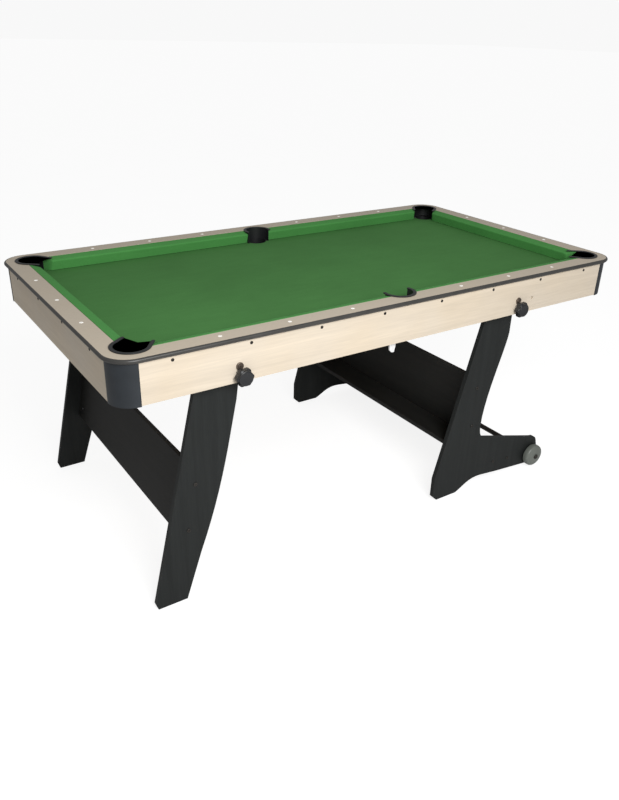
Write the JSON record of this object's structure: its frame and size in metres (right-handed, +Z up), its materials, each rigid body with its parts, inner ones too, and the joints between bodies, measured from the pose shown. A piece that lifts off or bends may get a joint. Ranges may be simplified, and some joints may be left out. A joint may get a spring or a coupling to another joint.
{
  "type": "mini pool table",
  "caption": "Folding mini pool table: cloth bed, cushions and pockets in a boxed frame on two leaning leg frames, one with transport wheels.",
  "frame": {"origin": "on the floor, under the middle of the table", "axes": "+X along the long side towards the wheeled frame, +Y across the table, +Z up"},
  "size_m": [1.852, 1.036, 0.8025],
  "materials": {
    "maple": "pale maple laminate, satin",
    "rail_laminate": "taupe laminate, satin",
    "raw_wood": "unfinished board and batten",
    "charcoal_board": "charcoal laminate, fine grain",
    "black_board": "black laminate",
    "corner_plastic": "satin moulded black",
    "edge_moulding": "dark grey bull-nose edging, satin",
    "pocket_plastic": "moulded black",
    "knob_plastic": "moulded black",
    "wheel_plastic": "grey moulded",
    "clip_white": "white moulded",
    "dot_ivory": "ivory inlay",
    "bed_cloth": "green napped cloth",
    "cushion_cloth": "green napped cloth over rubber",
    "black_hardware": "black",
    "steel": "zinc plated"
  },
  "bodies": {
    "table": {"side_panel_front": "maple", "side_panel_back": "maple", "end_panel_left": "maple", "end_panel_right": "maple", "corner_pad_left_front": "corner_plastic", "corner_pad_left_back": "corner_plastic", "corner_pad_right_front": "corner_plastic", "corner_pad_right_back": "corner_plastic", "top_frame": "rail_laminate", "edge_trim": "edge_moulding", "rail_dots": "dot_ivory", "panel_screws": "black_hardware", "rail_blocks": "raw_wood", "cushion_left": "cushion_cloth", "cushion_right": "cushion_cloth", "cushion_front_left": "cushion_cloth", "cushion_front_right": "cushion_cloth", "cushion_back_left": "cushion_cloth", "cushion_back_right": "cushion_cloth", "pocket_left_front": "pocket_plastic", "pocket_left_back": "pocket_plastic", "pocket_right_front": "pocket_plastic", "pocket_right_back": "pocket_plastic", "pocket_middle_front": "pocket_plastic", "pocket_middle_back": "pocket_plastic", "bed_board": "raw_wood", "bed_cloth": "bed_cloth", "bed_cleats": "raw_wood", "bed_battens": "raw_wood", "hinge_block_left_front": "raw_wood", "hinge_block_left_back": "raw_wood", "hinge_block_right_front": "raw_wood", "hinge_block_right_back": "raw_wood", "pivot_bolts": "black_hardware", "pivot_nuts": "steel", "clamp_straps": "steel", "leg_clips": "clip_white", "clip_screws": "steel"},
    "leg_left": {"leg_left_front": "charcoal_board", "leg_left_back": "charcoal_board", "crossboard_left": "black_board", "leg_screws_left": "black_hardware", "barrel_nuts_left": "steel"},
    "leg_right": {"leg_right_front": "charcoal_board", "leg_right_back": "charcoal_board", "crossboard_right": "black_board", "shelf_right": "charcoal_board", "heel_rail": "black_board", "axle_tube": "black_hardware", "wheel_bolts": "black_hardware", "leg_screws_right": "black_hardware", "barrel_nuts_right": "steel"},
    "wheel_front": {"wheel_front": "wheel_plastic"},
    "wheel_back": {"wheel_back": "wheel_plastic"},
    "knob_left_front": {"knob_left_front": "knob_plastic"},
    "knob_left_back": {"knob_left_back": "knob_plastic"},
    "knob_right_front": {"knob_right_front": "knob_plastic"},
    "knob_right_back": {"knob_right_back": "knob_plastic"}
  },
  "joints": [
    {"name": "leg_left_fold", "type": "hinge", "parent": "table", "child": "leg_left", "pos_m": [-0.583, 0, 0.717], "axis": [0, -1, 0], "range_deg": [0, 98]},
    {"name": "leg_right_fold", "type": "hinge", "parent": "table", "child": "leg_right", "pos_m": [0.454, 0, 0.717], "axis": [0, -1, 0], "range_deg": [0, 90]},
    {"name": "wheel_front_spin", "type": "hinge", "parent": "leg_right", "child": "wheel_front", "pos_m": [0.697, -0.475, 0.049], "axis": [0, 1, 0], "continuous": true},
    {"name": "wheel_back_spin", "type": "hinge", "parent": "leg_right", "child": "wheel_back", "pos_m": [0.697, 0.475, 0.049], "axis": [0, 1, 0], "continuous": true},
    {"name": "knob_left_front_turn", "type": "hinge", "parent": "table", "child": "knob_left_front", "pos_m": [-0.57718, -0.505, 0.68961], "axis": [0, -1, 0], "range_deg": [0, 330]},
    {"name": "knob_left_back_turn", "type": "hinge", "parent": "table", "child": "knob_left_back", "pos_m": [-0.57718, 0.505, 0.68961], "axis": [0, 1, 0], "range_deg": [0, 330]},
    {"name": "knob_right_front_turn", "type": "hinge", "parent": "table", "child": "knob_right_front", "pos_m": [0.45982, -0.505, 0.68961], "axis": [0, -1, 0], "range_deg": [0, 330]},
    {"name": "knob_right_back_turn", "type": "hinge", "parent": "table", "child": "knob_right_back", "pos_m": [0.45982, 0.505, 0.68961], "axis": [0, 1, 0], "range_deg": [0, 330]}
  ]
}
